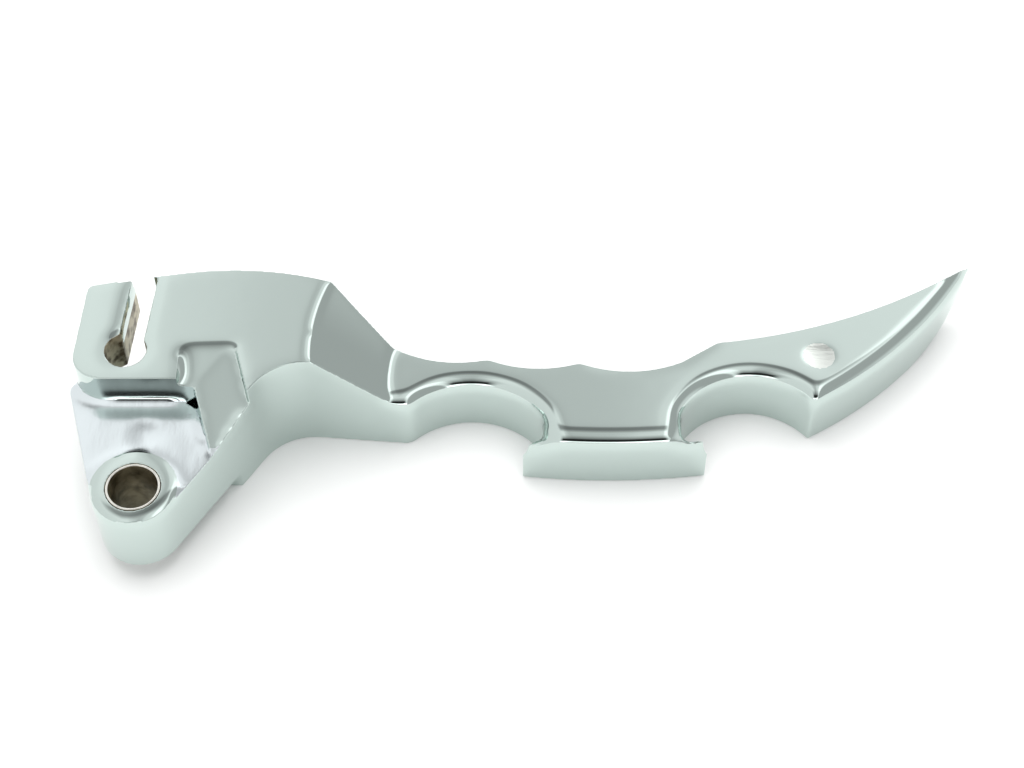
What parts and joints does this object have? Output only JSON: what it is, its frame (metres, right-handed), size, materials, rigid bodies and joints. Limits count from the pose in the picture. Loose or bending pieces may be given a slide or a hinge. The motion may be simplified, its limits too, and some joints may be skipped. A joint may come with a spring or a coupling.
{
  "type": "clutch lever",
  "caption": "Motorcycle clutch lever with a slotted cable head, a bushed pivot boss, a thumb-width blade with round finger cut-outs and a swept pointed tip.",
  "frame": {"origin": "pivot axis at the underside of the pivot arm", "axes": "+Z along the pivot axis towards the lever's top face, +X along the blade towards the tip, +Y from the pivot towards the cable hole"},
  "size_m": [0.1864, 0.0687, 0.0264],
  "materials": {
    "plated_casting": "polished",
    "bush_metal": "satin"
  },
  "bodies": {
    "bush": {"pivot_bush": "bush_metal"},
    "lever": {"lever": "plated_casting"}
  },
  "joints": [
    {"name": "lever_pivot", "type": "hinge", "parent": "bush", "child": "lever", "pos_m": [0, 0, 0.00775], "axis": [0, 0, 1], "range_deg": [-22, 0]}
  ]
}
